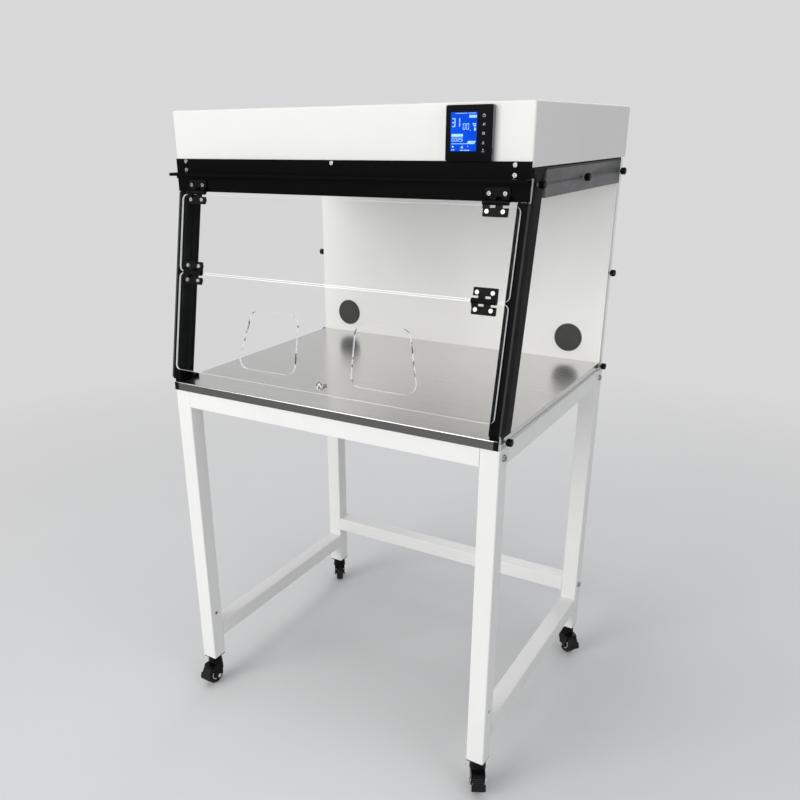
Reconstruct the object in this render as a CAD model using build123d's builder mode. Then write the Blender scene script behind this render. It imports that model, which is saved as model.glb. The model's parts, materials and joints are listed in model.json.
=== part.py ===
from build123d import *
import os
from math import atan, cos, sin, radians, pi

os.makedirs("parts", exist_ok=True)

# ------------------------------------------------------------------ sizes (mm)
# Frame: +Z up from the floor, the front faces -Y, X to the right.
hood_width = 800.0          # over the two clear side panels
panel_t = 4.0               # clear side panels
stand_in = 2.0              # stand inside the hood's width, each side
tube = 40.0                 # square tube of the stand
tube_wall = 2.0
tube_round = 3.0
caster_height = 84.0
leg_length = 730.0
side_rail_z = 135.0         # underside of the low side rails
rear_rail_z = 194.0         # underside of the low rear rail

worktop_t = 19.0
worktop_depth = 618.0
worktop_over = 3.0          # worktop in front of the stand
rear_gap = 29.0             # stand behind the worktop
sheet = 1.5                 # stainless and back panel sheet

back_t = 15.0               # folded back panel
chamber_height = 410.0      # worktop to filter box

filter_box_h = 50.5
gasket_t = 3.5
casing_height = 103.0
casing_over = 18.4          # casing behind the back panel
casing_wall = 2.0
casing_round = 4.0

post_slope = 0.2            # how far the front leans back per mm of height
post_depth = 62.0
post_flange = 20.0
post_t = 3.0
post_foot_h = 8.0
post_out = 2.6              # foot of the slope in front of the worktop
foot_seat = 0.4             # shallow seat pressed in the worktop for each post

fascia_h = 65.2
fascia_t = 2.4
fascia_drop = 56.0          # how far it hangs below the casing
ledge_depth = 24.0

sash_side = 15.0            # sash inside the hood's width, each side
sash_t = 5.0
sash_gap = 1.0              # sash to post flange
sash_round = 11.0
upper_sash_h = 161.5
lower_sash_h = 213.0
sash_joint = 3.0            # slit between the two sashes

hinge_inset = 59.0          # centre of each hinge from the hood's side
hinge_w = 48.0
leaf_t = 3.0
leaf_reach = 24.0           # from the pin's axis to the leaf's far edge
screw_reach = 15.2
screw_pitch = 30.0
knuckle_r = 5.0
pin_r = 2.0
pin_clear = 0.05
hinge_clear = 0.3           # barrel to glass
knuckle_gap = 0.15          # each side of a knuckle
leaf_notch = 4.0            # slot beyond the other leaf's knuckles

arm_inner = 68.0            # arm hole, near side, from the middle
arm_top = 230.0             # measured down the glass from the top hinge line
arm_bottom = 354.0
arm_top_outer = 187.0
arm_bottom_outer = 219.0
arm_round = 22.0
arm_shift = 9.0             # both holes lie this far right of the middle
pull_x = 15.0               # pull knob, right of the middle

wheel_r = 25.0
wheel_w = 20.0
axle_r = 3.5
trail = 8.0
fork_half = 15.5
cheek_t = 2.5

knob_r = 7.5
knob_len = 11.0
knob_screw_r = 2.5
knob_pitch = 254.0          # along the top edge of a side panel

# --------------------------------------------------------------- derived sizes
half = hood_width / 2
inner_half = half - panel_t                       # inside face of a side panel
sash_half = half - sash_side
hinge_x = half - hinge_inset
sx = half - stand_in
sy = (worktop_depth - worktop_over + rear_gap) / 2
leg_bottom = caster_height
stand_top = leg_bottom + leg_length
worktop_z = stand_top + worktop_t
worktop_front = -sy - worktop_over
worktop_back = worktop_front + worktop_depth
back_rear = worktop_back + back_t
box_bottom = worktop_z + chamber_height
box_top = box_bottom + filter_box_h
casing_bottom = box_top + gasket_t
casing_top = casing_bottom + casing_height
fascia_bottom = casing_bottom - fascia_drop
fascia_top = fascia_bottom + fascia_h

lean = atan(post_slope)
ca, sa = cos(lean), sin(lean)
ref_z = fascia_bottom - 4.0                       # reference height on the flange face
post_bottom = worktop_z + post_foot_h
ref_y = worktop_front - post_out + post_slope * (ref_z - post_bottom)
casing_front = ref_y + 0.8
fascia_face = casing_front - fascia_t
casing_rear = back_rear + casing_over
casing_depth = casing_rear - casing_front
box_front = ref_y + post_slope * (box_top - ref_z) + post_depth + 6.0

sash_out = sash_gap + sash_t                      # front face of the glass
pin_out = sash_out + knuckle_r + hinge_clear      # hinge axis in front of the flange face
top_up = 1.5                                      # top hinge axis above the reference
sash_top_up = -3.0
mid_up = sash_top_up - upper_sash_h - sash_joint / 2
sash_bottom_up = sash_top_up - upper_sash_h - sash_joint - lower_sash_h

steel_n = (0, -ca, sa)                            # outward normal of the leaning front


def lean_y(z):
    """Y of the flange face at height z."""
    return ref_y + post_slope * (z - ref_z)


def on_lean(up, out):
    """Point on the leaning front, up the slope and out of it."""
    return (0, ref_y + up * sa - out * ca, ref_z + up * ca + out * sa)


def lean_plane(out):
    """Working plane parallel to the leaning front: local x is X, local y runs up."""
    return Plane(origin=on_lean(0, out), x_dir=(1, 0, 0), z_dir=steel_n)


top_axis = on_lean(top_up, pin_out)
mid_axis = on_lean(mid_up, pin_out)


def block(x0, x1, y0, y1, z0, z1):
    """Plain block between two corners."""
    with BuildPart() as b:
        with BuildSketch(Plane.XY.offset(z0)):
            with Locations(((x0 + x1) / 2, (y0 + y1) / 2)):
                Rectangle(x1 - x0, y1 - y0)
        extrude(amount=z1 - z0)
    return b.part


def rod(start, direction, r, length):
    """Round rod from a point along a direction."""
    with BuildPart() as b:
        with BuildSketch(Plane(origin=start, z_dir=direction)):
            Circle(r)
        extrude(amount=length)
    return b.part


def keep(part, label):
    """Name a finished solid and write it out."""
    part.label = label
    export_step(part, f"parts/{label}.step")


def pair(parts, label):
    """Write a left and right piece as one group of separate solids."""
    group = Compound(children=[p for p in parts])
    group.label = label
    export_step(group, f"parts/{label}.step")


# ----------------------------------------------------------------------- stand
bolt_r = 4.0
bolt_hole_r = 4.5
plate_t = 4.0
leg_cx = sx - tube / 2
leg_cy = sy - tube / 2
bolt_top_z = stand_top - tube / 2
bolt_low_z = rear_rail_z + tube / 2


def leg(side, end):
    """Upright tube with cross holes for the bolted rails."""
    with BuildPart() as part:
        with BuildSketch(Plane.XY.offset(leg_bottom)):
            with Locations((side * leg_cx, end * leg_cy)):
                RectangleRounded(tube, tube, tube_round)
                Rectangle(tube - 2 * tube_wall, tube - 2 * tube_wall, mode=Mode.SUBTRACT)
        extrude(amount=leg_length)
        with BuildSketch(Plane.YZ.offset(side * leg_cx)):
            with Locations((end * leg_cy, bolt_top_z), (end * leg_cy, bolt_low_z)):
                Circle(bolt_hole_r)
        extrude(amount=tube, both=True, mode=Mode.SUBTRACT)
    return part.part


def cross_rail(y, z):
    """Tube along X between two legs, its ends closed by tapped plates."""
    reach = sx - tube
    with BuildPart() as part:
        with BuildSketch(Plane.YZ.offset(-reach)):
            with Locations((y, z)):
                RectangleRounded(tube, tube, tube_round)
        extrude(amount=2 * reach)
        with BuildSketch(Plane.YZ.offset(-reach + plate_t)):
            with Locations((y, z)):
                Rectangle(tube - 2 * tube_wall, tube - 2 * tube_wall)
        extrude(amount=2 * (reach - plate_t), mode=Mode.SUBTRACT)
        with BuildSketch(Plane.YZ.offset(-reach)):
            with Locations((y, z)):
                Circle(bolt_r)
        extrude(amount=2 * reach, mode=Mode.SUBTRACT)
    return part.part


def side_rail(side, z):
    """Tube along Y welded between the front and rear legs."""
    reach = sy - tube
    with BuildPart() as part:
        with BuildSketch(Plane.XZ.offset(-reach)):
            with Locations((side * leg_cx, z)):
                RectangleRounded(tube, tube, tube_round)
                Rectangle(tube - 2 * tube_wall, tube - 2 * tube_wall, mode=Mode.SUBTRACT)
        extrude(amount=2 * reach)
    return part.part


for side, side_name in ((-1, "left"), (1, "right")):
    for end, end_name in ((-1, "front"), (1, "rear")):
        keep(leg(side, end), f"leg_{end_name}_{side_name}")
pair([side_rail(side, stand_top - tube / 2) for side in (-1, 1)], "side_rails_top")
pair([side_rail(side, side_rail_z + tube / 2) for side in (-1, 1)], "side_rails_low")
keep(cross_rail(-leg_cy, bolt_top_z), "rail_top_front")
keep(cross_rail(leg_cy, bolt_top_z), "rail_top_rear")
keep(cross_rail(leg_cy, bolt_low_z), "rail_low_rear")

bolt_head_r = 7.0
bolt_head_h = 4.5
socket_w = 5.0
with BuildPart() as frame_bolts:
    for side in (-1, 1):
        for y, z in ((-leg_cy, bolt_top_z), (leg_cy, bolt_top_z), (leg_cy, bolt_low_z)):
            outward = Plane(origin=(side * sx, y, z), z_dir=(side, 0, 0))
            with BuildSketch(outward):
                Circle(bolt_head_r)
            extrude(amount=bolt_head_h, taper=12)
            with BuildSketch(outward):
                Circle(bolt_r)
            extrude(amount=-(tube + plate_t + 8))
            with BuildSketch(outward.offset(bolt_head_h)):
                RegularPolygon(socket_w / 2, 6)
            extrude(amount=-2.5, mode=Mode.SUBTRACT)
frame_bolts.part.label = "frame_bolts"
export_step(frame_bolts.part, "parts/frame_bolts.step")

# --------------------------------------------------------------------- casters
mount_plate_t = 3.0
mount_plate = tube - 1.0
plug_h = 25.0
plug_w = tube - 2 * tube_wall - 0.4
spigot_r = 6.0
spin_clear = 0.05
hinge_clear = 0.3           # barrel to glass
cup_r = 17.0
hood_z = wheel_r * 2 + 4.0          # underside of the fork's crown
crown_t = 4.0
cup_top = caster_height - mount_plate_t - 0.4
hub_half = fork_half - cheek_t - 0.5
pivot_x = trail + 15.0
pivot_z = hood_z - 3.8
pivot_r = 2.0
pivot_barrel = 3.4
crown_back = trail / 2 - fork_half - 1.0
crown_front = pivot_x + 5.0
head_out = 4.6                      # axle head beyond the fork

caster_headings = {
    "front_left": (-1, -1, 266.0),
    "front_right": (1, -1, 299.0),
    "rear_left": (-1, 1, 125.0),
    "rear_right": (1, 1, 322.0),
}

with BuildPart() as caster_stems:
    with BuildSketch(Plane.XY.offset(caster_height - mount_plate_t)):
        with Locations(*[(i * leg_cx, j * leg_cy) for i in (-1, 1) for j in (-1, 1)]):
            RectangleRounded(mount_plate, mount_plate, tube_round)
    extrude(amount=mount_plate_t)
    with BuildSketch(Plane.XY.offset(caster_height)):
        with Locations(*[(i * leg_cx, j * leg_cy) for i in (-1, 1) for j in (-1, 1)]):
            Rectangle(plug_w, plug_w)
    extrude(amount=plug_h)
    with BuildSketch(Plane.XY.offset(hood_z + 1)):
        with Locations(*[(i * leg_cx, j * leg_cy) for i in (-1, 1) for j in (-1, 1)]):
            Circle(spigot_r)
    extrude(amount=caster_height - mount_plate_t - hood_z - 1)
caster_stems.part.label = "caster_stems"
export_step(caster_stems.part, "parts/caster_stems.step")

with BuildPart() as fork_shape:
    # crown and bearing cup round the stem
    with BuildSketch(Plane.XY.offset(hood_z)):
        with Locations(((crown_back + crown_front) / 2, 0)):
            RectangleRounded(crown_front - crown_back, 2 * fork_half, 7)
    extrude(amount=crown_t)
    with BuildSketch(Plane.XY.offset(hood_z + crown_t)):
        Circle(cup_r + 1.5)
    extrude(amount=cup_top - hood_z - crown_t, taper=5)
    # two cheeks down to the axle
    for s in (-1, 1):
        with BuildSketch(Plane.XZ.offset(-s * fork_half if s > 0 else fork_half - cheek_t)):
            with BuildLine():
                Polyline(
                    (trail / 2 - fork_half, hood_z + 1),
                    (pivot_x + 4, hood_z + 1),
                    (pivot_x + 4, hood_z - 7),
                    (trail + 10, wheel_r - 2),
                    (trail - 10, wheel_r - 2),
                    (trail / 2 - fork_half, wheel_r + 14),
                    close=True,
                )
            make_face()
            with Locations((trail, wheel_r)):
                Circle(10.5)
        extrude(amount=cheek_t)
    # front wall of the hood
    with BuildSketch(Plane.XY.offset(wheel_r + 22)):
        with Locations((trail / 2 - fork_half - 0.5, 0)):
            Rectangle(cheek_t, 2 * fork_half - 4)
    extrude(amount=hood_z - wheel_r - 21)
    # axle, its heads and the pedal's pivot pin
    with Locations((trail, 0, wheel_r)):
        Cylinder(axle_r, 2 * fork_half, rotation=(90, 0, 0))
    for s in (-1, 1):
        with BuildSketch(Plane(origin=(trail, s * fork_half, wheel_r), x_dir=(1, 0, 0), z_dir=(0, s, 0))):
            RegularPolygon(6.0, 6)
        extrude(amount=head_out)
    with Locations((pivot_x, 0, pivot_z)):
        Cylinder(pivot_r, 2 * fork_half - 1, rotation=(90, 0, 0))
    with BuildSketch(Plane.XY.offset(hood_z - 1)):
        Circle(spigot_r + spin_clear)
    extrude(amount=caster_height, mode=Mode.SUBTRACT)

with BuildPart() as wheel_shape:
    with Locations((trail, 0, wheel_r)):
        Cylinder(wheel_r, wheel_w, rotation=(90, 0, 0))
    rim = wheel_shape.edges().filter_by(GeomType.CIRCLE)
    chamfer(rim, 2.5)
    for s in (-1, 1):
        side_plane = Plane(origin=(trail, s * wheel_w / 2, wheel_r), x_dir=(1, 0, 0), z_dir=(0, s, 0))
        with BuildSketch(side_plane):
            Circle(wheel_r - 6)
            Circle(9.0, mode=Mode.SUBTRACT)
        extrude(amount=-3.0, mode=Mode.SUBTRACT)
        with BuildSketch(side_plane):
            Circle(7.5)
        extrude(amount=hub_half - wheel_w / 2)
    with Locations((trail, 0, wheel_r)):
        Cylinder(axle_r + spin_clear, 2 * hub_half + 2, rotation=(90, 0, 0), mode=Mode.SUBTRACT)

pedal_half = fork_half - cheek_t - 0.4
with BuildPart() as pedal_shape:
    with BuildSketch(Plane.XZ.offset(-pedal_half)):
        with BuildLine():
            Polyline(
                (pivot_x - 1, pivot_z + 3.2),
                (pivot_x + 8, pivot_z + 1.2),
                (pivot_x + 15.5, pivot_z - 10),
                (pivot_x + 19.5, pivot_z - 21),
                (pivot_x + 19, pivot_z - 27),
                (pivot_x + 17, pivot_z - 27),
                (pivot_x + 15.5, pivot_z - 22),
                (pivot_x + 12, pivot_z - 12),
                (pivot_x + 5, pivot_z - 3.6),
                (pivot_x, pivot_z - 3.0),
                close=True,
            )
        make_face()
        with Locations((pivot_x, pivot_z)):
            Circle(pivot_barrel)
    extrude(amount=2 * pedal_half)
    # foot tab as wide as the fork
    with BuildSketch(Plane.XZ.offset(-fork_half)):
        with BuildLine():
            Polyline(
                (pivot_x + 15.5, pivot_z - 10),
                (pivot_x + 19.5, pivot_z - 21),
                (pivot_x + 19, pivot_z - 27),
                (pivot_x + 17, pivot_z - 27),
                (pivot_x + 15.5, pivot_z - 22),
                (pivot_x + 12, pivot_z - 12),
                close=True,
            )
        make_face()
    extrude(amount=2 * fork_half)
    with Locations((pivot_x, 0, pivot_z)):
        Cylinder(pivot_r + spin_clear, 3 * fork_half, rotation=(90, 0, 0), mode=Mode.SUBTRACT)

for place, (i, j, heading) in caster_headings.items():
    spot = Location((i * leg_cx, j * leg_cy, 0), (0, 0, heading))
    keep(fork_shape.part.moved(spot), f"caster_fork_{place}")
    keep(wheel_shape.part.moved(spot), f"caster_wheel_{place}")
    keep(pedal_shape.part.moved(spot), f"brake_pedal_{place}")

# --------------------------------------------------------------------- worktop
knob_top_z = casing_bottom - 29.0
knob_low_z = worktop_z - worktop_t / 2
knob_rear_y = back_rear - back_t / 2
knob_front_y = worktop_front + 30.0
knob_mid_z = (knob_low_z + knob_top_z) / 2
return_w = 12.0
foot_back = post_depth - 2.0        # rear end of a post's foot, from the worktop's front
with BuildPart() as worktop:
    with BuildSketch(Plane.XY.offset(stand_top)):
        with Locations((0, (worktop_front + worktop_back) / 2)):
            Rectangle(2 * inner_half, worktop_depth)
    extrude(amount=worktop_t)
    fillet(worktop.edges().filter_by(Axis.X).group_by(Axis.Z)[-1].group_by(Axis.Y)[0], 2.0)
    with BuildSketch(Plane.XY.offset(stand_top + sheet)):
        with Locations((0, (worktop_front + worktop_back) / 2)):
            Rectangle(2 * (inner_half - sheet), worktop_depth - 2 * sheet)
    extrude(amount=worktop_t - 2 * sheet, mode=Mode.SUBTRACT)
    with BuildSketch(Plane.XY.offset(stand_top)):
        with Locations((0, (worktop_front + worktop_back) / 2)):
            Rectangle(2 * (inner_half - return_w), worktop_depth - 2 * return_w)
    extrude(amount=sheet, mode=Mode.SUBTRACT)
    for x in (-inner_half / 2, 0, inner_half / 2):
        with BuildSketch(Plane.XY.offset(stand_top + sheet)):
            with Locations((x, (worktop_front + worktop_back) / 2)):
                Rectangle(24, worktop_depth - 2 * sheet)
                Rectangle(20, worktop_depth - 2 * sheet, mode=Mode.SUBTRACT)
        extrude(amount=worktop_t - 2 * sheet)
    with BuildSketch(Plane.YZ.offset(-half)):
        with Locations((knob_front_y, knob_low_z)):
            Circle(knob_screw_r)
    extrude(amount=hood_width, mode=Mode.SUBTRACT)
    # shallow seats under the posts' feet
    with BuildSketch(Plane.XY.offset(worktop_z - foot_seat)):
        for s in (-1, 1):
            with Locations((s * (inner_half - post_flange / 2), worktop_front + foot_back / 2)):
                Rectangle(post_flange + 1, foot_back)
    extrude(amount=1, mode=Mode.SUBTRACT)
worktop.part.label = "worktop"
export_step(worktop.part, "parts/worktop.step")

cap_t = 1.2
cap_reach = 10.0
with BuildPart() as corner_caps:
    for s in (-1, 1):
        x_in = s * (inner_half - cap_reach)
        x_out = s * inner_half
        with BuildSketch(Plane.XY.offset(stand_top + 0.5)):
            with Locations(((x_in + x_out) / 2, worktop_front - cap_t / 2)):
                Rectangle(cap_reach, cap_t)
        extrude(amount=worktop_t - 1.5)
        with BuildSketch(Plane.XY.offset(stand_top + 3)):
            with Locations(((x_in + x_out) / 2, worktop_front - cap_t)):
                Rectangle(cap_reach - 4, 1.6)
        extrude(amount=worktop_t - 6.5)
corner_caps.part.label = "corner_caps"
export_step(corner_caps.part, "parts/corner_caps.step")

# ------------------------------------------------------------------ back panel
grommet_x = half - 85.0
grommet_z = worktop_z + 53.0
grommet_r = 34.0
sleeve_r = 29.0
with BuildPart() as back_panel:
    with BuildSketch(Plane.XZ.offset(-back_rear)):
        with Locations((0, (stand_top + box_bottom) / 2)):
            Rectangle(2 * inner_half, box_bottom - stand_top)
    extrude(amount=back_t)
    with BuildSketch(Plane.XZ.offset(-back_rear + sheet)):
        with Locations((0, (stand_top + box_bottom) / 2)):
            Rectangle(2 * (inner_half - sheet), box_bottom - stand_top - 2 * sheet)
    extrude(amount=back_t - 2 * sheet, mode=Mode.SUBTRACT)
    with BuildSketch(Plane.XZ.offset(-back_rear)):
        with Locations((0, (stand_top + box_bottom) / 2)):
            Rectangle(2 * (inner_half - 14), box_bottom - stand_top - 28)
    extrude(amount=sheet, mode=Mode.SUBTRACT)
    with BuildSketch(Plane.XZ.offset(-back_rear)):
        with Locations((-grommet_x, grommet_z), (grommet_x, grommet_z)):
            Circle(sleeve_r)
    extrude(amount=back_t + 1, mode=Mode.SUBTRACT)
    with BuildSketch(Plane.YZ.offset(-half)):
        with Locations((knob_rear_y, knob_low_z), (knob_rear_y, knob_mid_z)):
            Circle(knob_screw_r)
    extrude(amount=hood_width, mode=Mode.SUBTRACT)
back_panel.part.label = "back_panel"
export_step(back_panel.part, "parts/back_panel.step")

with BuildPart() as grommet_caps:
    for s in (-1, 1):
        face = Plane(origin=(s * grommet_x, worktop_back, grommet_z), x_dir=(1, 0, 0), z_dir=(0, -1, 0))
        with BuildSketch(face):
            Circle(grommet_r)
        extrude(amount=2.6, taper=20)
        with BuildSketch(face):
            Circle(sleeve_r - 0.2)
            Circle(sleeve_r - 2.6, mode=Mode.SUBTRACT)
        extrude(amount=-back_t)
        with BuildSketch(face.offset(2.6)):
            Circle(grommet_r - 4)
            Circle(grommet_r - 5.5, mode=Mode.SUBTRACT)
        extrude(amount=-0.8, mode=Mode.SUBTRACT)
        with BuildSketch(face.offset(2.6)):
            with Locations((0, -14)):
                SlotOverall(10, 4)
        extrude(amount=1.4)
grommet_caps.part.label = "grommet_caps"
export_step(grommet_caps.part, "parts/grommet_caps.step")

# ----------------------------------------------------------------- side panels
panel_top = box_top + 0.5
panel_low = stand_top + 2.0
knob_spots = [
    (knob_rear_y - 2 * knob_pitch - 4, knob_top_z),
    (knob_rear_y - knob_pitch - 4, knob_top_z),
    (knob_rear_y, knob_top_z),
    (knob_rear_y, knob_mid_z),
    (knob_rear_y, knob_low_z),
    (knob_front_y, knob_low_z),
]
for s, side_name in ((-1, "left"), (1, "right")):
    with BuildPart() as side_panel:
        with BuildSketch(Plane.YZ.offset(inner_half if s > 0 else -half)):
            with BuildLine():
                Polyline(
                    (worktop_front + 2, panel_low),
                    (back_rear, panel_low),
                    (back_rear, panel_top),
                    (lean_y(panel_top), panel_top),
                    (lean_y(post_bottom + 4), post_bottom + 4),
                    (worktop_front + 2, worktop_z + 3),
                    close=True,
                )
            make_face()
            with Locations(*knob_spots):
                Circle(knob_screw_r + 0.4, mode=Mode.SUBTRACT)
        extrude(amount=panel_t)
    keep(side_panel.part, f"side_panel_{side_name}")

with BuildPart() as thumb_knobs:
    for s in (-1, 1):
        for y, z in knob_spots:
            face = Plane(origin=(s * half, y, z), z_dir=(s, 0, 0))
            with BuildSketch(face):
                Circle(knob_screw_r)
            extrude(amount=-(panel_t + 6))
            with BuildSketch(face):
                Circle(knob_r - 2)
            extrude(amount=1.5)
            with BuildSketch(face.offset(1.5)):
                RegularPolygon(knob_r, 14)
            extrude(amount=knob_len - 3)
            with BuildSketch(face.offset(knob_len - 1.5)):
                Circle(knob_r - 0.5)
            extrude(amount=1.5, taper=35)
thumb_knobs.part.label = "thumb_knobs"
export_step(thumb_knobs.part, "parts/thumb_knobs.step")

# ----------------------------------------------------------------------- posts
run = Vector(0, sa, ca)
for s, side_name in ((-1, "left"), (1, "right")):
    with BuildPart() as post:
        # side leg, full height
        with BuildSketch(Plane.XY.offset(post_bottom)):
            with Locations((s * (inner_half - post_t / 2), lean_y(post_bottom) + post_depth / 2)):
                Rectangle(post_t, post_depth)
            for back in (0.38, 0.62, 0.94):
                with Locations((s * (inner_half - post_t - 1), lean_y(post_bottom) + back * post_depth)):
                    Rectangle(2.4, 3.0)
        extrude(amount=(box_top - post_bottom) / ca, dir=run)
        # front flange, up to the fascia
        with BuildSketch(Plane.XY.offset(post_bottom)):
            with Locations((s * (inner_half - post_flange / 2), lean_y(post_bottom) + post_t / 2)):
                Rectangle(post_flange, post_t)
            with Locations((s * (inner_half - post_flange + 1.2), lean_y(post_bottom) + post_t / 2 + 3)):
                Rectangle(2.4, post_t + 6)
        extrude(amount=(fascia_bottom - 0.8 - post_bottom) / ca, dir=run)
        # foot on the worktop
        with BuildSketch(Plane.XY.offset(worktop_z - foot_seat)):
            with Locations((s * (inner_half - post_flange / 2 - 0.5), worktop_front + foot_back / 2 + 1)):
                Rectangle(post_flange - 1, foot_back - 2.4)
        extrude(amount=post_foot_h + foot_seat)
        with BuildSketch(Plane.YZ.offset(-half)):
            with Locations(knob_spots[0]):
                Circle(knob_screw_r)
        extrude(amount=hood_width, mode=Mode.SUBTRACT)
    keep(post.part, f"post_{side_name}")

# ---------------------------------------------------------------------- fascia
fascia_half = half - 1.5
fascia_screw_x = half - 30.0
fascia_screw_z = casing_bottom + 4.0
fascia_screw_z2 = fascia_bottom + 43.4
ledge_top = fascia_bottom + 38.0
return_half = inner_half - post_flange - 1
with BuildPart() as fascia:
    with BuildSketch(Plane.XZ.offset(-casing_front)):
        with Locations((0, (fascia_bottom + fascia_top) / 2)):
            Rectangle(2 * fascia_half, fascia_h)
        with Locations((0, fascia_screw_z), (-fascia_screw_x, fascia_screw_z), (fascia_screw_x, fascia_screw_z)):
            Circle(2.1, mode=Mode.SUBTRACT)
        with Locations((-fascia_screw_x, fascia_screw_z2), (fascia_screw_x, fascia_screw_z2)):
            Circle(2.1, mode=Mode.SUBTRACT)
        for s in (-1, 1):
            for t in (-1, 1):
                with Locations((s * hinge_x + t * screw_pitch / 2, top_axis[2] + screw_reach - 1)):
                    Circle(2.0, mode=Mode.SUBTRACT)
    extrude(amount=fascia_t)
    # bottom edge turned inwards
    with BuildSketch(Plane.XY.offset(fascia_bottom)):
        with Locations((0, casing_front + 5)):
            Rectangle(2 * return_half, 10)
    extrude(amount=2.0)
fascia.part.label = "fascia"
export_step(fascia.part, "parts/fascia.step")

with BuildPart() as fascia_ledge:
    with BuildSketch(Plane.YZ.offset(-half)):
        with BuildLine():
            Polyline(
                (fascia_face, ledge_top),
                (fascia_face - ledge_depth, ledge_top),
                (fascia_face - ledge_depth, ledge_top - 6),
                (fascia_face - ledge_depth + 2, ledge_top - 6),
                (fascia_face - ledge_depth + 2, ledge_top - 2),
                (fascia_face - 2, ledge_top - 2),
                (fascia_face - 2, ledge_top - 12),
                (fascia_face, ledge_top - 12),
                close=True,
            )
        make_face()
    extrude(amount=hood_width)
fascia_ledge.part.label = "fascia_ledge"
export_step(fascia_ledge.part, "parts/fascia_ledge.step")

# ---------------------------------------------------------------------- casing
fan_y = casing_front + casing_depth / 2 + 20
intake_w = 330.0
intake_d = 230.0
opening_x = inner_half - 26
opening_front = box_front + 20
opening_rear = back_rear - 20
ctrl = 86.0
ctrl_h = ctrl + 3.0
ctrl_x = half - 114.0
ctrl_z = fascia_top + 0.3 + ctrl_h / 2
ctrl_deep = 10.0
ctrl_plug = 54.0
inlet_x = 100.0 - half
inlet_z = casing_top - 50.0
tray_t = 2.0
tray_z = casing_top - casing_wall - 18.0
eye_r = 70.0                        # fan inlet
bar_z = casing_bottom + casing_wall
bar_t = 4.0
bar_w = 90.0
with BuildPart() as casing:
    with BuildSketch(Plane.XY.offset(casing_bottom)):
        with Locations((0, casing_front + casing_depth / 2)):
            Rectangle(hood_width, casing_depth)
    extrude(amount=casing_height)
    fillet(casing.edges().filter_by(Axis.Z), casing_round)
    fillet(casing.faces().sort_by(Axis.Z)[-1].edges(), casing_round - 1)
    with BuildSketch(Plane.XY.offset(casing_bottom + casing_wall)):
        with Locations((0, casing_front + casing_depth / 2)):
            Rectangle(hood_width - 2 * casing_wall, casing_depth - 2 * casing_wall)
    extrude(amount=casing_height - 2 * casing_wall, mode=Mode.SUBTRACT)
    # filter opening in the bottom pan
    with BuildSketch(Plane.XY.offset(casing_bottom)):
        with Locations((0, (opening_front + opening_rear) / 2)):
            Rectangle(2 * opening_x, opening_rear - opening_front)
    extrude(amount=casing_wall, mode=Mode.SUBTRACT)
    # air intake in the top
    with BuildSketch(Plane.XY.offset(casing_top - casing_wall)):
        with Locations((0, fan_y)):
            Rectangle(intake_w, intake_d)
    extrude(amount=casing_wall, mode=Mode.SUBTRACT)
    # controller and fascia screw holes in the front
    with BuildSketch(Plane.XZ.offset(-casing_front - casing_wall)):
        with Locations((ctrl_x, ctrl_z)):
            Rectangle(ctrl_plug + 1, ctrl_plug + 1)
        with Locations((0, fascia_screw_z), (-fascia_screw_x, fascia_screw_z), (fascia_screw_x, fascia_screw_z)):
            Circle(2.0)
    extrude(amount=casing_wall, mode=Mode.SUBTRACT)
    # power inlet in the rear
    with BuildSketch(Plane.XZ.offset(-casing_rear)):
        with Locations((inlet_x, inlet_z)):
            Rectangle(48, 28)
    extrude(amount=casing_wall, mode=Mode.SUBTRACT)
casing.part.label = "casing"
export_step(casing.part, "parts/casing.step")

# tray with a bell mouth under the top sheet
with BuildPart() as inlet_tray:
    with BuildSketch(Plane.XY.offset(tray_z)):
        with Locations((0, fan_y)):
            Rectangle(intake_w + 16, intake_d + 16)
            Circle(eye_r - tray_t, mode=Mode.SUBTRACT)
    extrude(amount=tray_t)
    with BuildSketch(Plane.XY.offset(tray_z)):
        with Locations((0, fan_y)):
            Rectangle(intake_w + 16, intake_d + 16)
            Rectangle(intake_w + 12, intake_d + 12, mode=Mode.SUBTRACT)
    extrude(amount=casing_top - casing_wall - tray_z)
    with BuildSketch(Plane.XY.offset(tray_z)):
        with Locations((0, fan_y)):
            Circle(eye_r)
            Circle(eye_r - tray_t, mode=Mode.SUBTRACT)
    extrude(amount=-12)
inlet_tray.part.label = "inlet_tray"
export_step(inlet_tray.part, "parts/inlet_tray.step")

# bar across the filter opening that carries the fan
keep(block(-bar_w / 2, bar_w / 2, opening_front - 12, opening_rear + 12, bar_z, bar_z + bar_t), "fan_bar")

# louvred intake grille that drops into the top opening
blade_pitch = 17.0
frame_w = 11.0
grille_t = 2.5
neck = 8.0
with BuildPart() as intake_grille:
    with BuildSketch(Plane.XY.offset(casing_top)):
        with Locations((0, fan_y)):
            RectangleRounded(intake_w + 2 * frame_w, intake_d + 2 * frame_w, 6)
            Rectangle(intake_w - 6, intake_d - 6, mode=Mode.SUBTRACT)
    extrude(amount=grille_t)
    with BuildSketch(Plane.XY.offset(casing_top - neck)):
        with Locations((0, fan_y)):
            Rectangle(intake_w - 1, intake_d - 1)
            Rectangle(intake_w - 6, intake_d - 6, mode=Mode.SUBTRACT)
    extrude(amount=neck)
    blade_count = int((intake_d - 6) / blade_pitch)
    with BuildSketch(Plane.YZ.offset(-intake_w / 2 + 2)):
        for i in range(blade_count):
            y = fan_y - (blade_count - 1) * blade_pitch / 2 + i * blade_pitch
            with Locations(Location((y, casing_top - 2.2, 0), (0, 0, 33))):
                Rectangle(13.5, 1.5)
    extrude(amount=intake_w - 4)
    with BuildSketch(Plane.XY.offset(casing_top - neck)):
        with Locations((-intake_w / 6, fan_y), (intake_w / 6, fan_y)):
            Rectangle(3, intake_d - 4)
    extrude(amount=neck + 1)
intake_grille.part.label = "intake_grille"
export_step(intake_grille.part, "parts/intake_grille.step")

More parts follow.
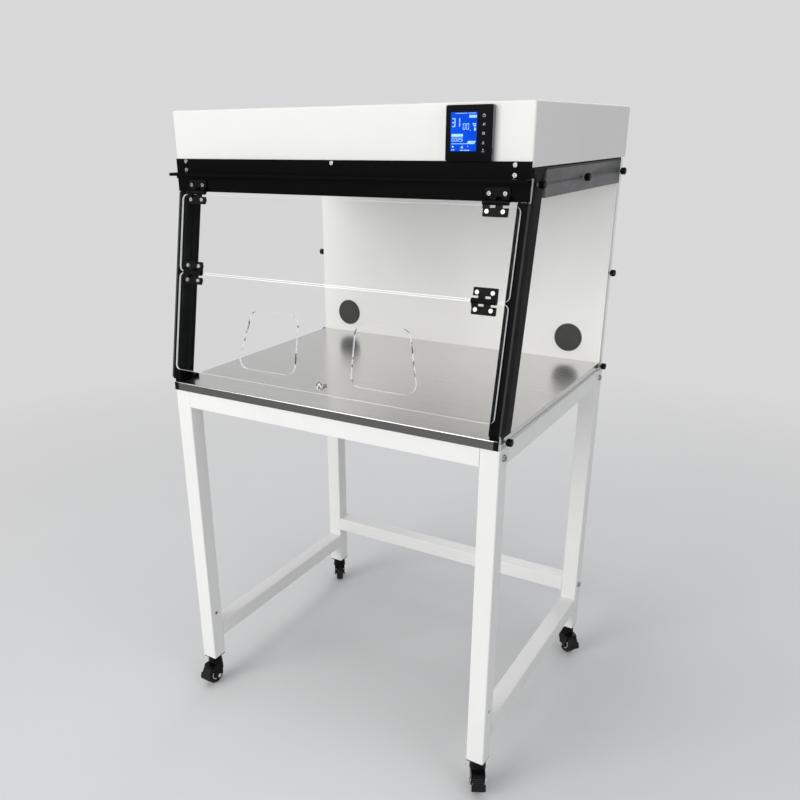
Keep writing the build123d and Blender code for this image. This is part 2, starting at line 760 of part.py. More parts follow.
with BuildPart() as prefilter:
    with BuildSketch(Plane.XY.offset(tray_z + tray_t)):
        with Locations((0, fan_y)):
            Rectangle(intake_w - 2, intake_d - 2)
    extrude(amount=casing_top - neck - 0.5 - tray_z - tray_t)
prefilter.part.label = "prefilter"
export_step(prefilter.part, "parts/prefilter.step")

# fan: motor and backward-curved impeller
shaft_r = 5.0
motor_z = bar_z + bar_t
fan_bottom = motor_z + 12.0
fan_top = tray_z - 8.0
fan_r = 112.0
with BuildPart() as fan_motor:
    with BuildSketch(Plane.XY.offset(motor_z)):
        with Locations((0, fan_y)):
            Circle(44)
    extrude(amount=8)
    with BuildSketch(Plane.XY.offset(motor_z + 8)):
        with Locations((0, fan_y)):
            Circle(12)
    extrude(amount=3)
    with BuildSketch(Plane.XY.offset(motor_z + 11)):
        with Locations((0, fan_y)):
            Circle(shaft_r)
    extrude(amount=32)
fan_motor.part.label = "fan_motor"
export_step(fan_motor.part, "parts/fan_motor.step")

blades = 9
with BuildPart() as fan_impeller:
    with BuildSketch(Plane.XY.offset(fan_bottom)):
        with Locations((0, fan_y)):
            Circle(fan_r)
    extrude(amount=2.5)
    with BuildSketch(Plane.XY.offset(fan_bottom + 2.5)):
        with Locations((0, fan_y)):
            Circle(42)
    extrude(amount=28, taper=8)
    with BuildSketch(Plane.XY.offset(fan_bottom + 2)):
        with Locations((0, fan_y)):
            with PolarLocations(0, blades):
                with Locations(Location((94.5, 0, 0), (0, 0, 38))):
                    Rectangle(40, 2.2)
    extrude(amount=fan_top - fan_bottom - 4)
    with BuildSketch(Plane.XY.offset(fan_top - 2.5)):
        with Locations((0, fan_y)):
            Circle(fan_r)
            Circle(eye_r + 3, mode=Mode.SUBTRACT)
    extrude(amount=2.5)
    with BuildSketch(Plane.XY.offset(fan_bottom)):
        with Locations((0, fan_y)):
            Circle(shaft_r + spin_clear)
    extrude(amount=60, mode=Mode.SUBTRACT)
fan_impeller.part.label = "fan_impeller"
export_step(fan_impeller.part, "parts/fan_impeller.step")

# ------------------------------------------------------- filter box and filter
with BuildPart() as casing_gasket:
    with BuildSketch(Plane.XY.offset(box_top)):
        with Locations((0, (casing_front + 6 + back_rear) / 2)):
            Rectangle(2 * inner_half, back_rear - casing_front - 6)
        with Locations((0, (opening_front + opening_rear) / 2)):
            Rectangle(2 * opening_x, opening_rear - opening_front, mode=Mode.SUBTRACT)
        with Locations((0, (casing_front + box_front) / 2 - 1)):
            Rectangle(2 * opening_x, box_front - casing_front - 18, mode=Mode.SUBTRACT)
    extrude(amount=gasket_t)
casing_gasket.part.label = "casing_gasket"
export_step(casing_gasket.part, "parts/casing_gasket.step")

box_wall = 2.0
box_flange = 22.0
with BuildPart() as filter_box:
    with BuildSketch(Plane.XY.offset(box_bottom)):
        with Locations((0, (box_front + back_rear) / 2)):
            Rectangle(2 * inner_half, back_rear - box_front)
            Rectangle(2 * (inner_half - box_flange), back_rear - box_front - 2 * box_flange, mode=Mode.SUBTRACT)
    extrude(amount=box_wall)
    with BuildSketch(Plane.XY.offset(box_bottom)):
        with Locations((0, (box_front + back_rear) / 2)):
            Rectangle(2 * inner_half, back_rear - box_front)
            Rectangle(2 * (inner_half - box_wall), back_rear - box_front - 2 * box_wall, mode=Mode.SUBTRACT)
    extrude(amount=filter_box_h)
    with BuildSketch(Plane.YZ.offset(-half)):
        with Locations(knob_spots[1], knob_spots[2]):
            Circle(knob_screw_r)
    extrude(amount=hood_width, mode=Mode.SUBTRACT)
filter_box.part.label = "filter_box"
export_step(filter_box.part, "parts/filter_box.step")

hepa_half = inner_half - box_wall - 6.5
hepa_front = box_front + box_wall + 1.5
hepa_rear = back_rear - box_wall - 1.5
hepa_z = box_bottom + box_wall
hepa_h = filter_box_h - box_wall
hepa_wall = 14.0
pleat = 24.0
media_t = 1.6
with BuildPart() as hepa_filter:
    with BuildSketch(Plane.XY.offset(hepa_z)):
        with Locations((0, (hepa_front + hepa_rear) / 2)):
            Rectangle(2 * hepa_half, hepa_rear - hepa_front)
            Rectangle(2 * (hepa_half - hepa_wall), hepa_rear - hepa_front - 2 * hepa_wall, mode=Mode.SUBTRACT)
    extrude(amount=hepa_h)
    pleats = int(2 * (hepa_half - hepa_wall) / pleat)
    start = -pleats * pleat / 2
    low, high = hepa_z + 8, hepa_z + hepa_h - 8
    fold = []
    for i in range(2 * pleats + 1):
        fold.append((start + i * pleat / 2, low if i % 2 == 0 else high))
    ends_x = hepa_half - hepa_wall + 1
    lower_line = [(-ends_x, low)] + fold + [(ends_x, low)]
    upper_line = [(x, z + media_t * 2.6) for x, z in reversed(lower_line)]
    with BuildSketch(Plane.XZ.offset(-hepa_rear + hepa_wall - 1)):
        with BuildLine():
            Polyline(*(lower_line + upper_line), close=True)
        make_face()
    extrude(amount=hepa_rear - hepa_front - 2 * hepa_wall + 2)
hepa_filter.part.label = "hepa_filter"
export_step(hepa_filter.part, "parts/hepa_filter.step")

slot_len = 96.0
slot_w = 9.0
lamp_half = inner_half - 96.0
with BuildPart() as diffuser:
    diff_front = box_front + 6
    diff_rear = worktop_back - 3
    slot_columns = int(2 * (inner_half - 8) / (slot_len + 12))
    slot_rows = int((diff_rear - diff_front) / (slot_w * 2.6))
    with BuildSketch(Plane.XY.offset(box_bottom - 2)):
        with Locations((0, (diff_front + diff_rear) / 2)):
            Rectangle(2 * (inner_half - 8), diff_rear - diff_front)
            with GridLocations(slot_len + 12, slot_w * 2.6, slot_columns, slot_rows):
                Rectangle(slot_len, slot_w, mode=Mode.SUBTRACT)
    extrude(amount=2)
diffuser.part.label = "diffuser"
export_step(diffuser.part, "parts/diffuser.step")

with BuildPart() as lamp:
    lamp_y = (casing_front + box_front) / 2
    with BuildSketch(Plane.YZ.offset(-lamp_half)):
        with BuildLine():
            Polyline(
                (lamp_y - 12, casing_bottom),
                (lamp_y - 12, casing_bottom - 6),
                (lamp_y - 8, casing_bottom - 13),
                (lamp_y + 8, casing_bottom - 13),
                (lamp_y + 12, casing_bottom - 6),
                (lamp_y + 12, casing_bottom),
                close=True,
            )
        make_face()
    extrude(amount=2 * lamp_half)
lamp.part.label = "lamp"
export_step(lamp.part, "parts/lamp.step")

# ------------------------------------------------------------------ controller
glass_t = 2.5
lcd_w = 49.0
lcd_h = 62.0
lcd_x = ctrl_x - 9.5
lcd_z = ctrl_z + 2.2
with BuildPart() as controller_body:
    with BuildSketch(Plane.XZ.offset(-casing_front)):
        with Locations((ctrl_x, ctrl_z)):
            RectangleRounded(ctrl, ctrl_h, 3)
    extrude(amount=ctrl_deep)
    with BuildSketch(Plane.XZ.offset(-casing_front)):
        with Locations((ctrl_x, ctrl_z)):
            Rectangle(ctrl_plug, ctrl_plug)
    extrude(amount=-24)
    # finger notch in the right side for lifting the face off
    with BuildSketch(Plane.XZ.offset(-casing_front + ctrl_deep - 4)):
        with Locations((ctrl_x + ctrl / 2, ctrl_z - ctrl_h * 0.33)):
            Rectangle(3, 12)
    extrude(amount=4, mode=Mode.SUBTRACT)
controller_body.part.label = "controller_body"
export_step(controller_body.part, "parts/controller_body.step")

ctrl_face_y = casing_front - ctrl_deep
with BuildPart() as controller_face:
    with BuildSketch(Plane.XZ.offset(-ctrl_face_y)):
        with Locations((ctrl_x, ctrl_z)):
            RectangleRounded(ctrl, ctrl_h, 3)
    extrude(amount=glass_t)
    with BuildSketch(Plane.XZ.offset(-ctrl_face_y + glass_t)):
        with Locations((lcd_x, lcd_z)):
            Rectangle(lcd_w, lcd_h)
    extrude(amount=-1.2, mode=Mode.SUBTRACT)
controller_face.part.label = "controller_face"
export_step(controller_face.part, "parts/controller_face.step")

with BuildPart() as controller_display:
    with BuildSketch(Plane.XZ.offset(-ctrl_face_y + glass_t - 1.2)):
        with Locations((lcd_x, lcd_z)):
            Rectangle(lcd_w - 0.4, lcd_h - 0.4)
    extrude(amount=1.0)
controller_display.part.label = "controller_display"
export_step(controller_display.part, "parts/controller_display.step")

with BuildPart() as power_inlet:
    with BuildSketch(Plane.XZ.offset(-casing_rear - 2)):
        with Locations((inlet_x, inlet_z)):
            RectangleRounded(60, 36, 4)
    extrude(amount=2)
    with BuildSketch(Plane.XZ.offset(-casing_rear)):
        with Locations((inlet_x, inlet_z)):
            Rectangle(47, 27)
    extrude(amount=22)
    with BuildSketch(Plane.XZ.offset(-casing_rear - 2)):
        with Locations((inlet_x, inlet_z)):
            Rectangle(26, 18)
    extrude(amount=16, mode=Mode.SUBTRACT)
    with BuildSketch(Plane.XZ.offset(-casing_rear + 14.5)):
        with Locations((inlet_x - 7, inlet_z - 2), (inlet_x + 7, inlet_z - 2), (inlet_x, inlet_z + 3)):
            Rectangle(2, 5)
    extrude(amount=-13)
power_inlet.part.label = "power_inlet"
export_step(power_inlet.part, "parts/power_inlet.step")

# ---------------------------------------------------------------------- sashes
glass_hole_r = 2.2
top_screw_up = top_up - screw_reach
mid_high_up = mid_up + screw_reach
mid_low_up = mid_up - screw_reach


def screw_points(up):
    """Four holes of a left and right hinge leaf at one height."""
    spots = []
    for s in (-1, 1):
        for t in (-1, 1):
            spots.append((s * hinge_x + t * screw_pitch / 2, up))
    return spots


with BuildPart() as sash_upper:
    with BuildSketch(lean_plane(sash_gap)):
        with Locations((0, sash_top_up - upper_sash_h / 2)):
            RectangleRounded(2 * sash_half, upper_sash_h, sash_round)
        with Locations(*screw_points(top_screw_up), *screw_points(mid_high_up)):
            Circle(glass_hole_r, mode=Mode.SUBTRACT)
    extrude(amount=sash_t)
sash_upper.part.label = "sash_upper"
export_step(sash_upper.part, "parts/sash_upper.step")

lower_mid = (mid_up - sash_joint / 2 + sash_bottom_up) / 2
with BuildPart() as arm_hole:
    with BuildSketch(lean_plane(-10)):
        with BuildLine():
            Polyline(
                (arm_inner, -arm_top),
                (arm_top_outer, -arm_top),
                (arm_bottom_outer, -arm_bottom),
                (arm_inner, -arm_bottom),
                close=True,
            )
        make_face()
    extrude(amount=30)
    fillet(arm_hole.edges().filter_by(lambda e: abs(e.length - 30) < 0.01), arm_round)

pull_up = sash_bottom_up + 17.5
with BuildPart() as sash_lower:
    with BuildSketch(lean_plane(sash_gap)):
        with Locations((0, lower_mid)):
            RectangleRounded(2 * sash_half, lower_sash_h, sash_round)
        with Locations(*screw_points(mid_low_up), (pull_x, pull_up)):
            Circle(glass_hole_r, mode=Mode.SUBTRACT)
    extrude(amount=sash_t)
    add(arm_hole.part.moved(Location((arm_shift, 0, 0))), mode=Mode.SUBTRACT)
    add(arm_hole.part.mirror(Plane.YZ).moved(Location((arm_shift, 0, 0))), mode=Mode.SUBTRACT)
sash_lower.part.label = "sash_lower"
export_step(sash_lower.part, "parts/sash_lower.step")

with BuildPart() as sash_knob:
    with BuildSketch(lean_plane(sash_out)):
        with Locations((pull_x, pull_up)):
            Circle(5.5)
    extrude(amount=5)
    with BuildSketch(lean_plane(sash_out + 5)):
        with Locations((pull_x, pull_up)):
            RegularPolygon(7, 8)
    with BuildSketch(lean_plane(sash_out + 11)):
        with Locations((pull_x, pull_up)):
            RegularPolygon(10.5, 8)
    loft()
    with BuildSketch(lean_plane(sash_out + 11)):
        with Locations((pull_x, pull_up)):
            RegularPolygon(10.5, 8)
    with BuildSketch(lean_plane(sash_out + 17)):
        with Locations((pull_x, pull_up)):
            RegularPolygon(7, 8)
    loft()
    with BuildSketch(lean_plane(sash_out)):
        with Locations((pull_x, pull_up)):
            Circle(glass_hole_r - 0.2)
    extrude(amount=-sash_t)
    with BuildSketch(lean_plane(sash_gap)):
        with Locations((pull_x, pull_up)):
            Circle(4.5)
    extrude(amount=-2.5)
sash_knob.part.label = "sash_knob"
export_step(sash_knob.part, "parts/sash_knob.step")

# ---------------------------------------------------------------------- hinges
knuckle = hinge_w / 4


def barrel(axis_point, x0, width, r):
    """Cylinder along X on a hinge axis."""
    start = Plane(origin=(x0, axis_point[1], axis_point[2]), x_dir=(0, 1, 0), z_dir=(1, 0, 0))
    with BuildPart() as b:
        with BuildSketch(start):
            Circle(r)
        extrude(amount=width)
    return b.part


def lean_leaf(centre_x, axis_up, way, first):
    """Leaf on the glass. way is +1 above the pin, -1 below; first is its first knuckle."""
    axis_point = on_lean(axis_up, pin_out)
    near = axis_up + way * (knuckle_r + leaf_notch)
    far = axis_up + way * leaf_reach
    with BuildPart() as part:
        with BuildSketch(lean_plane(sash_out)):
            with Locations((centre_x, (near + far) / 2)):
                Rectangle(hinge_w - 1, abs(far - near))
        extrude(amount=leaf_t)
        fillet(part.edges().filter_by(lambda e: abs(e.length - leaf_t) < 0.01).sort_by(
            lambda e: way * (e.center().Z))[-2:], 2.0)
        for k in (first, first + 2):
            x0 = centre_x - hinge_w / 2 + k * knuckle + knuckle_gap
            wide = knuckle - 2 * knuckle_gap
            with BuildSketch(lean_plane(sash_out)):
                with Locations((x0 + wide / 2, (near + axis_up) / 2 + way * 0.5)):
                    Rectangle(wide, abs(near - axis_up) + 1)
            extrude(amount=pin_out - sash_out)
            add(barrel(axis_point, x0, wide, knuckle_r))
        with BuildSketch(lean_plane(sash_out)):
            with Locations(*[(centre_x + t * screw_pitch / 2, axis_up + way * screw_reach) for t in (-1, 1)]):
                Circle(glass_hole_r)
        extrude(amount=leaf_t, mode=Mode.SUBTRACT)
    return part.part


def fascia_leaf(centre_x):
    """Fixed leaf screwed to the upright fascia, second and fourth knuckles."""
    near = top_axis[2] + knuckle_r + leaf_notch
    far = top_axis[2] + leaf_reach
    with BuildPart() as part:
        with BuildSketch(Plane.XZ.offset(-fascia_face)):
            with Locations((centre_x, (near + far) / 2)):
                Rectangle(hinge_w - 1, far - near)
        extrude(amount=leaf_t)
        fillet(part.edges().filter_by(Axis.Y).sort_by(Axis.Z)[-2:], 2.0)
        for k in (1, 3):
            x0 = centre_x - hinge_w / 2 + k * knuckle + knuckle_gap
            wide = knuckle - 2 * knuckle_gap
            with BuildSketch(Plane.XY.offset(top_axis[2])):
                with Locations((x0 + wide / 2, (top_axis[1] + fascia_face) / 2)):
                    Rectangle(wide, fascia_face - top_axis[1])
            extrude(amount=near - top_axis[2] + 0.2)
            add(barrel(top_axis, x0, wide, knuckle_r))
        with BuildSketch(Plane.XZ.offset(-fascia_face)):
            with Locations(*[(centre_x + t * screw_pitch / 2, top_axis[2] + screw_reach - 1) for t in (-1, 1)]):
                Circle(glass_hole_r)
        extrude(amount=leaf_t, mode=Mode.SUBTRACT)
    return part.part


def with_pin(leaf_part, axis_point, centre_x):
    """Leaf with the hinge pin pressed through its knuckles."""
    return leaf_part + barrel(axis_point, centre_x - hinge_w / 2, hinge_w, pin_r)


def with_bore(leaf_part, axis_point, centre_x):
    """Leaf whose knuckles turn on the pin."""
    return leaf_part - barrel(axis_point, centre_x - hinge_w / 2 - 1, hinge_w + 2, pin_r + pin_clear)


pair([with_pin(fascia_leaf(s * hinge_x), top_axis, s * hinge_x) for s in (-1, 1)], "top_hinge_fixed_leaves")
pair([with_bore(lean_leaf(s * hinge_x, top_up, -1, 0), top_axis, s * hinge_x) for s in (-1, 1)],
     "top_hinge_moving_leaves")
pair([with_pin(lean_leaf(s * hinge_x, mid_up, 1, 1), mid_axis, s * hinge_x) for s in (-1, 1)],
     "middle_hinge_upper_leaves")
pair([with_bore(lean_leaf(s * hinge_x, mid_up, -1, 0), mid_axis, s * hinge_x) for s in (-1, 1)],
     "middle_hinge_lower_leaves")

head_r = 4.8
head_h = 3.0
cross_w = 1.3
cross_l = 5.0


def pan_screws(plane, spots, shank, shank_r, nut):
    """Cross-head screws, heads standing on the plane; optional nut at the far end."""
    with BuildPart() as group:
        with BuildSketch(plane):
            with Locations(*spots):
                Circle(head_r)
        extrude(amount=head_h, taper=18)
        with BuildSketch(plane):
            with Locations(*spots):
                Circle(shank_r)
        extrude(amount=-shank)
        if nut:
            with BuildSketch(plane.offset(-shank)):
                with Locations(*spots):
                    RegularPolygon(4.2, 6)
            extrude(amount=-2.6)
        with BuildSketch(plane.offset(head_h)):
            with Locations(*spots):
                Rectangle(cross_l, cross_w)
                Rectangle(cross_w, cross_l)
        extrude(amount=-1.2, mode=Mode.SUBTRACT)
    return group.part


upright = Plane(origin=(0, fascia_face, 0), x_dir=(1, 0, 0), z_dir=(0, -1, 0))
row_one = [(0, fascia_screw_z), (-fascia_screw_x, fascia_screw_z), (fascia_screw_x, fascia_screw_z)]
row_two = [(-fascia_screw_x, fascia_screw_z2), (fascia_screw_x, fascia_screw_z2)]
fascia_set = pan_screws(upright, row_one + row_two, 10.0, 2.0, False)
fixed_set = pan_screws(upright.offset(leaf_t), screw_points(top_axis[2] + screw_reach - 1), 9.0, 1.95, False)
fascia_screws = Compound(children=list(fascia_set.solids()) + list(fixed_set.solids()))
keep(fascia_screws, "fascia_screws")

glass_face = lean_plane(sash_out + leaf_t)
upper_set = pan_screws(glass_face, screw_points(top_screw_up) + screw_points(mid_high_up),
                       leaf_t + sash_t, glass_hole_r - 0.2, True)
keep(upper_set, "upper_sash_screws")
lower_set = pan_screws(glass_face, screw_points(mid_low_up), leaf_t + sash_t, glass_hole_r - 0.2, True)
keep(lower_set, "lower_sash_screws")
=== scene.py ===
import json
import math

import bmesh
import bpy
from mathutils import Matrix, Vector


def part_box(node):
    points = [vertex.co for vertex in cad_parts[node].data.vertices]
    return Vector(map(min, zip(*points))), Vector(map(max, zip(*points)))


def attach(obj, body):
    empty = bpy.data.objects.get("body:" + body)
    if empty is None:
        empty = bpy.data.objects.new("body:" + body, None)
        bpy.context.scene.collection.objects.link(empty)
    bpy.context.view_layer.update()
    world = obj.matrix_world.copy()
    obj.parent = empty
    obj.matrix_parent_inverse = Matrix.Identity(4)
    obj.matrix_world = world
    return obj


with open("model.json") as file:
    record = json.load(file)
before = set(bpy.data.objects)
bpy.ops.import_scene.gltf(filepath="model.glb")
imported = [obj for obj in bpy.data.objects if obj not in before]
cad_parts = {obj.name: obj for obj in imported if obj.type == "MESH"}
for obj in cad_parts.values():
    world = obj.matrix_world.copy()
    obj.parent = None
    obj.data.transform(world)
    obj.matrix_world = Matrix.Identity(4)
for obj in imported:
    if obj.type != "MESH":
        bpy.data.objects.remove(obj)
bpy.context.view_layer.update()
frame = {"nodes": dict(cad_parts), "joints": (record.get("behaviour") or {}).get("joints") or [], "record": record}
nodes = frame["nodes"]
scene = bpy.context.scene
MM = 0.001

# The sash and the posts lean back by a fifth of their height.
LEAN = math.atan(0.2)
FRONT_NORMAL = Vector((0.0, -math.cos(LEAN), math.sin(LEAN)))
SHEET_UP = Vector((0.0, math.sin(LEAN), math.cos(LEAN)))


# ---------------------------------------------------------------- camera
def add_camera():
    """Camera at the photograph's place, solved from the right angles of the object."""
    azimuth, elevation, roll = math.radians(31.574), math.radians(22.360), -0.0127
    above_worktop = 0.524
    place = Vector((0.90808, -1.61634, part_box("worktop")[1].z + above_worktop))
    level = math.cos(elevation)
    ahead = Vector((-math.sin(azimuth) * level, math.cos(azimuth) * level, -math.sin(elevation)))
    right = Vector((math.cos(azimuth), math.sin(azimuth), 0))
    up = right.cross(ahead)
    rolled_right = right * math.cos(roll) + up * math.sin(roll)
    rolled_up = up * math.cos(roll) - right * math.sin(roll)
    turn = Matrix((rolled_right, rolled_up, -ahead)).transposed().to_4x4()

    data = bpy.data.cameras.new("view")
    data.sensor_width = 36.0
    data.lens = 36.43
    data.shift_x = 0.04196
    data.shift_y = 0.07956
    data.clip_start, data.clip_end = 0.05, 60
    camera = bpy.data.objects.new("view", data)
    scene.collection.objects.link(camera)
    camera.matrix_world = Matrix.Translation(place) @ turn
    scene.camera = camera


add_camera()


# ------------------------------------------------------------- materials
class Net:
    """A material with its shader, and short ways to string nodes together.

    An underscore in a socket's name stands for a space, as in Base_Color.
    """

    def __init__(self, name):
        self.mat = bpy.data.materials.new(name)
        self.mat.use_nodes = True
        self.tree = self.mat.node_tree
        self.shader = self.tree.nodes["Principled BSDF"]
        self.coord = self.tree.nodes.new("ShaderNodeTexCoord")

    def new(self, kind, **values):
        """Node of a kind, with its settings and the values of its inputs."""
        node = self.tree.nodes.new(kind)
        for key, value in values.items():
            if hasattr(node, key):
                setattr(node, key, value)
            else:
                node.inputs[key.replace("_", " ")].default_value = value
        return node

    def link(self, output, entry):
        self.tree.links.new(output, entry)

    def noise(self, scale, detail=3.0, rough=0.55, stretch=None, swirl=0.0):
        """Noise in the object's own coordinates; stretch scales each axis first."""
        texture = self.new("ShaderNodeTexNoise", Scale=scale, Detail=detail, Roughness=rough,
                           Distortion=swirl)
        place = self.coord.outputs["Object"]
        if stretch:
            mapping = self.new("ShaderNodeMapping", Scale=stretch)
            self.link(place, mapping.inputs["Vector"])
            place = mapping.outputs["Vector"]
        self.link(place, texture.inputs["Vector"])
        return texture.outputs["Fac"]

    def part(self, axis, source="Object"):
        """X, Y or Z of the object's own coordinates, or of its normal."""
        split = self.new("ShaderNodeSeparateXYZ")
        self.link(self.coord.outputs[source], split.inputs[0])
        return split.outputs[axis]

    def along(self, direction, source="Object"):
        """How far a point lies along a direction, or how much its normal faces that way."""
        dot = self.new("ShaderNodeVectorMath", operation="DOT_PRODUCT")
        self.link(self.coord.outputs[source], dot.inputs[0])
        dot.inputs[1].default_value = direction
        return dot.outputs["Value"]

    def ramp(self, source, low, high, to_low=0.0, to_high=1.0):
        """Spreads low..high over to_low..to_high, and holds both ends."""
        spread = self.new("ShaderNodeMapRange")
        ends = {"From Min": low, "From Max": high, "To Min": to_low, "To Max": to_high}
        for key, value in ends.items():
            spread.inputs[key].default_value = value
        self.link(source, spread.inputs["Value"])
        return spread.outputs["Result"]

    def between(self, source, low, high, soft):
        """1 from low to high and 0 outside, with soft ends."""
        return self.product(self.ramp(source, low - soft, low + soft),
                            self.ramp(source, high + soft, high - soft))

    def reckon(self, operation, *sources, clamp=False):
        node = self.new("ShaderNodeMath", operation=operation, use_clamp=clamp)
        for source, entry in zip(sources, node.inputs):
            self.link(source, entry)
        return node.outputs[0]

    def product(self, first, second):
        return self.reckon("MULTIPLY", first, second)

    def total(self, first, second):
        """Sum, held between 0 and 1."""
        return self.reckon("ADD", first, second, clamp=True)

    def mix(self, share, first, second):
        """Blend of two colours, each given as numbers or as a socket."""
        node = self.new("ShaderNodeMix", data_type="RGBA")
        # A Mix node keeps its two colours at inputs 6 and 7, and the blend at output 2.
        for entry, colour in ((node.inputs[6], first), (node.inputs[7], second)):
            if isinstance(colour, bpy.types.NodeSocket):
                self.link(colour, entry)
            else:
                entry.default_value = (*colour, 1)
        self.link(share, node.inputs["Factor"])
        return node.outputs[2]

    def bump(self, height, strength, distance):
        node = self.new("ShaderNodeBump", Strength=strength, Distance=distance)
        self.link(height, node.inputs["Height"])
        return node.outputs["Normal"]

    def set(self, **values):
        """Links or sets the shader's own sockets, and hands back the material."""
        for key, value in values.items():
            entry = self.shader.inputs[key.replace("_", " ")]
            if isinstance(value, bpy.types.NodeSocket):
                self.link(value, entry)
            elif isinstance(value, tuple):
                entry.default_value = (*value, 1)
            else:
                entry.default_value = value
        return self.mat


def scaled(colour, share):
    """Darker tone of a colour, where share is below 1."""
    return tuple(c * share for c in colour)


def coated(name, dark, light, rough, spread=0.06, peel=0.12, peel_scale=700.0, grime=0.0, spec=0.5):
    """Painted or moulded surface: slow colour drift, uneven gloss and a fine skin."""
    net = Net(name)
    colour = net.mix(net.ramp(net.noise(2.3, 4.0), 0.35, 0.65), dark, light)
    if grime:
        specks = net.ramp(net.noise(60.0, 6.0, 0.75), 0.60, 0.80, 0.0, grime)
        colour = net.mix(specks, colour, scaled(dark, 0.75))
    gloss = net.ramp(net.noise(9.0, 5.0, 0.6), 0.3, 0.7, rough - spread, rough + spread)
    skin = net.bump(net.noise(peel_scale, 2.0), peel, 0.2 * MM)
    return net.set(Base_Color=colour, Roughness=gloss, Normal=skin, Specular_IOR_Level=spec)


def ribbed(name, dark, light, rough, pitch):
    """Moulded plastic with level grip ribs, its troughs painted dark and its tops lighter: painted shade and
    painted highlight.
    """
    net = Net(name)
    one_rib = 0.314      # height of one band of the wave texture at scale 1, in metres
    wave = net.new("ShaderNodeTexWave", bands_direction="Z", Scale=one_rib / pitch, Distortion=0.2)
    net.link(net.coord.outputs["Object"], wave.inputs["Vector"])
    ribs = wave.outputs["Fac"]
    lit_rib_tops = net.mix(net.ramp(net.noise(60.0, 4.0), 0.35, 0.65), light, scaled(light, 0.8))
    # troughs dark and tops lighter: painted shade and painted highlight
    return net.set(Base_Color=net.mix(net.ramp(ribs, 0.2, 0.8), dark, lit_rib_tops),
                   Roughness=net.ramp(net.noise(90.0), 0.3, 0.7, rough - 0.05, rough + 0.05),
                   Specular_IOR_Level=0.12, Normal=net.bump(ribs, 0.5, 0.6 * MM))


def brushed(name, dark, light, rough, along=(1.5, 260.0, 260.0), strength=0.10, front=None):
    """Bare metal with a fine grain, drawn out along the axis where along is small.

    front: tone of the painted dark reflection on the faces that look forward, and the height below which they have
    it.
    """
    net = Net(name)
    grain = net.noise(6.0, 6.0, 0.7, stretch=along)
    colour = net.mix(net.ramp(grain, 0.3, 0.7), dark, light)
    if front:
        tone, top = front
        # faces that look forward, below the top, take the dark tone: a painted dark reflection
        painted_reflection_faces = net.ramp(net.part("Y", "Normal"), -0.75, -0.95)
        below = net.ramp(net.part("Z"), top, top - 0.8 * MM)
        colour = net.mix(net.product(painted_reflection_faces, below), colour, tone)
    cloud = net.ramp(net.noise(3.1, 3.0), 0.3, 0.7, -0.03, 0.03)
    gloss = net.reckon("ADD", net.ramp(grain, 0.3, 0.7, rough - 0.05, rough + 0.05), cloud)
    return net.set(Base_Color=colour, Metallic=1.0, Roughness=gloss,
                   Normal=net.bump(grain, strength, 0.1 * MM))


def clear(name, facing, edge_alpha, edge_highlight_colour, gleam, rim=None, slit=None, holes=None):
    """Clear sheet: nearly invisible faces, and edges painted pale with a faint glow as a painted highlight.

    facing: the sheet's own normal.
    rim: how far forward the front edge lies, painted near black there as painted shade, and the two heights
    between which it has a painted white highlight instead.
    slit: place of a joint up the sheet, drawn as a pale glowing line that is a painted highlight, and half its
    width.
    holes: lowest and highest place up the sheet of cut-outs whose edges carry dark flecks, a painted reflection.
    """
    net = Net(name)
    edge = net.ramp(net.reckon("ABSOLUTE", net.along(facing, "Normal")), 0.75, 0.45)
    alpha = net.ramp(edge, 0.0, 1.0, 0.010, edge_alpha)
    # the edges take a pale tint: painted highlight
    tint = net.mix(edge, (0.22, 0.24, 0.245), edge_highlight_colour)
    gloss = net.ramp(net.noise(30.0, 4.0), 0.3, 0.7, 0.05, 0.11)
    lit = edge
    if rim:
        out, low, high = rim
        foremost = net.ramp(net.along(FRONT_NORMAL), out - 1.2 * MM, out - 0.8 * MM)
        front = net.product(edge, foremost)
        shine = net.between(net.along((0.0, 0.0, 1.0)), low, high, 0.5 * MM)
        # the front edge is painted near black as painted shade, and white between low and high as a painted
        # highlight
        tint = net.mix(front, tint, net.mix(shine, (0.006, 0.007, 0.007), (0.90, 0.92, 0.92)))
        alpha = net.total(alpha, net.ramp(front, 0.0, 1.0, 0.0, 0.55))
        gloss = net.total(gloss, net.ramp(front, 0.0, 1.0, 0.0, 0.6))
        lit = net.product(edge, net.ramp(front, 1.0, 0.0))
    if slit:
        middle, half_width = slit
        line = net.between(net.along(SHEET_UP), middle - half_width, middle + half_width, 0.1 * MM)
        # the slit is drawn as a pale line that also glows: painted highlight
        tint = net.mix(line, tint, edge_highlight_colour)
        alpha = net.total(alpha, line)
        lit = net.total(lit, line)
    if holes:
        reach = 280 * MM      # both holes lie within this distance of the middle
        across = net.between(net.along((1.0, 0.0, 0.0)), -reach, reach, MM)
        cut = net.product(net.between(net.along(SHEET_UP), *holes, MM), across)
        flecks = net.ramp(net.noise(75.0, 3.0), 0.52, 0.58)
        # dark flecks on the hole edges: painted reflection
        painted_flecks = net.product(net.product(edge, cut), flecks)
        tint = net.mix(painted_flecks, tint, (0.05, 0.05, 0.05))
        lit = net.product(lit, net.ramp(painted_flecks, 1.0, 0.0))
    smudge = net.ramp(net.noise(7.0, 5.0, 0.7), 0.50, 0.80, 0.0, 0.012)
    # the emission makes the edges and the slit glow though the sheet is no lamp: painted highlight
    return net.set(Base_Color=tint, Alpha=net.total(alpha, smudge), Roughness=gloss, IOR=1.49,
                   Emission_Color=(0.92, 0.95, 0.95),
                   Emission_Strength=net.ramp(lit, 0.0, 1.0, 0.0, gleam),
                   Normal=net.bump(net.noise(1.8, 1.0), 0.02, 10 * MM))


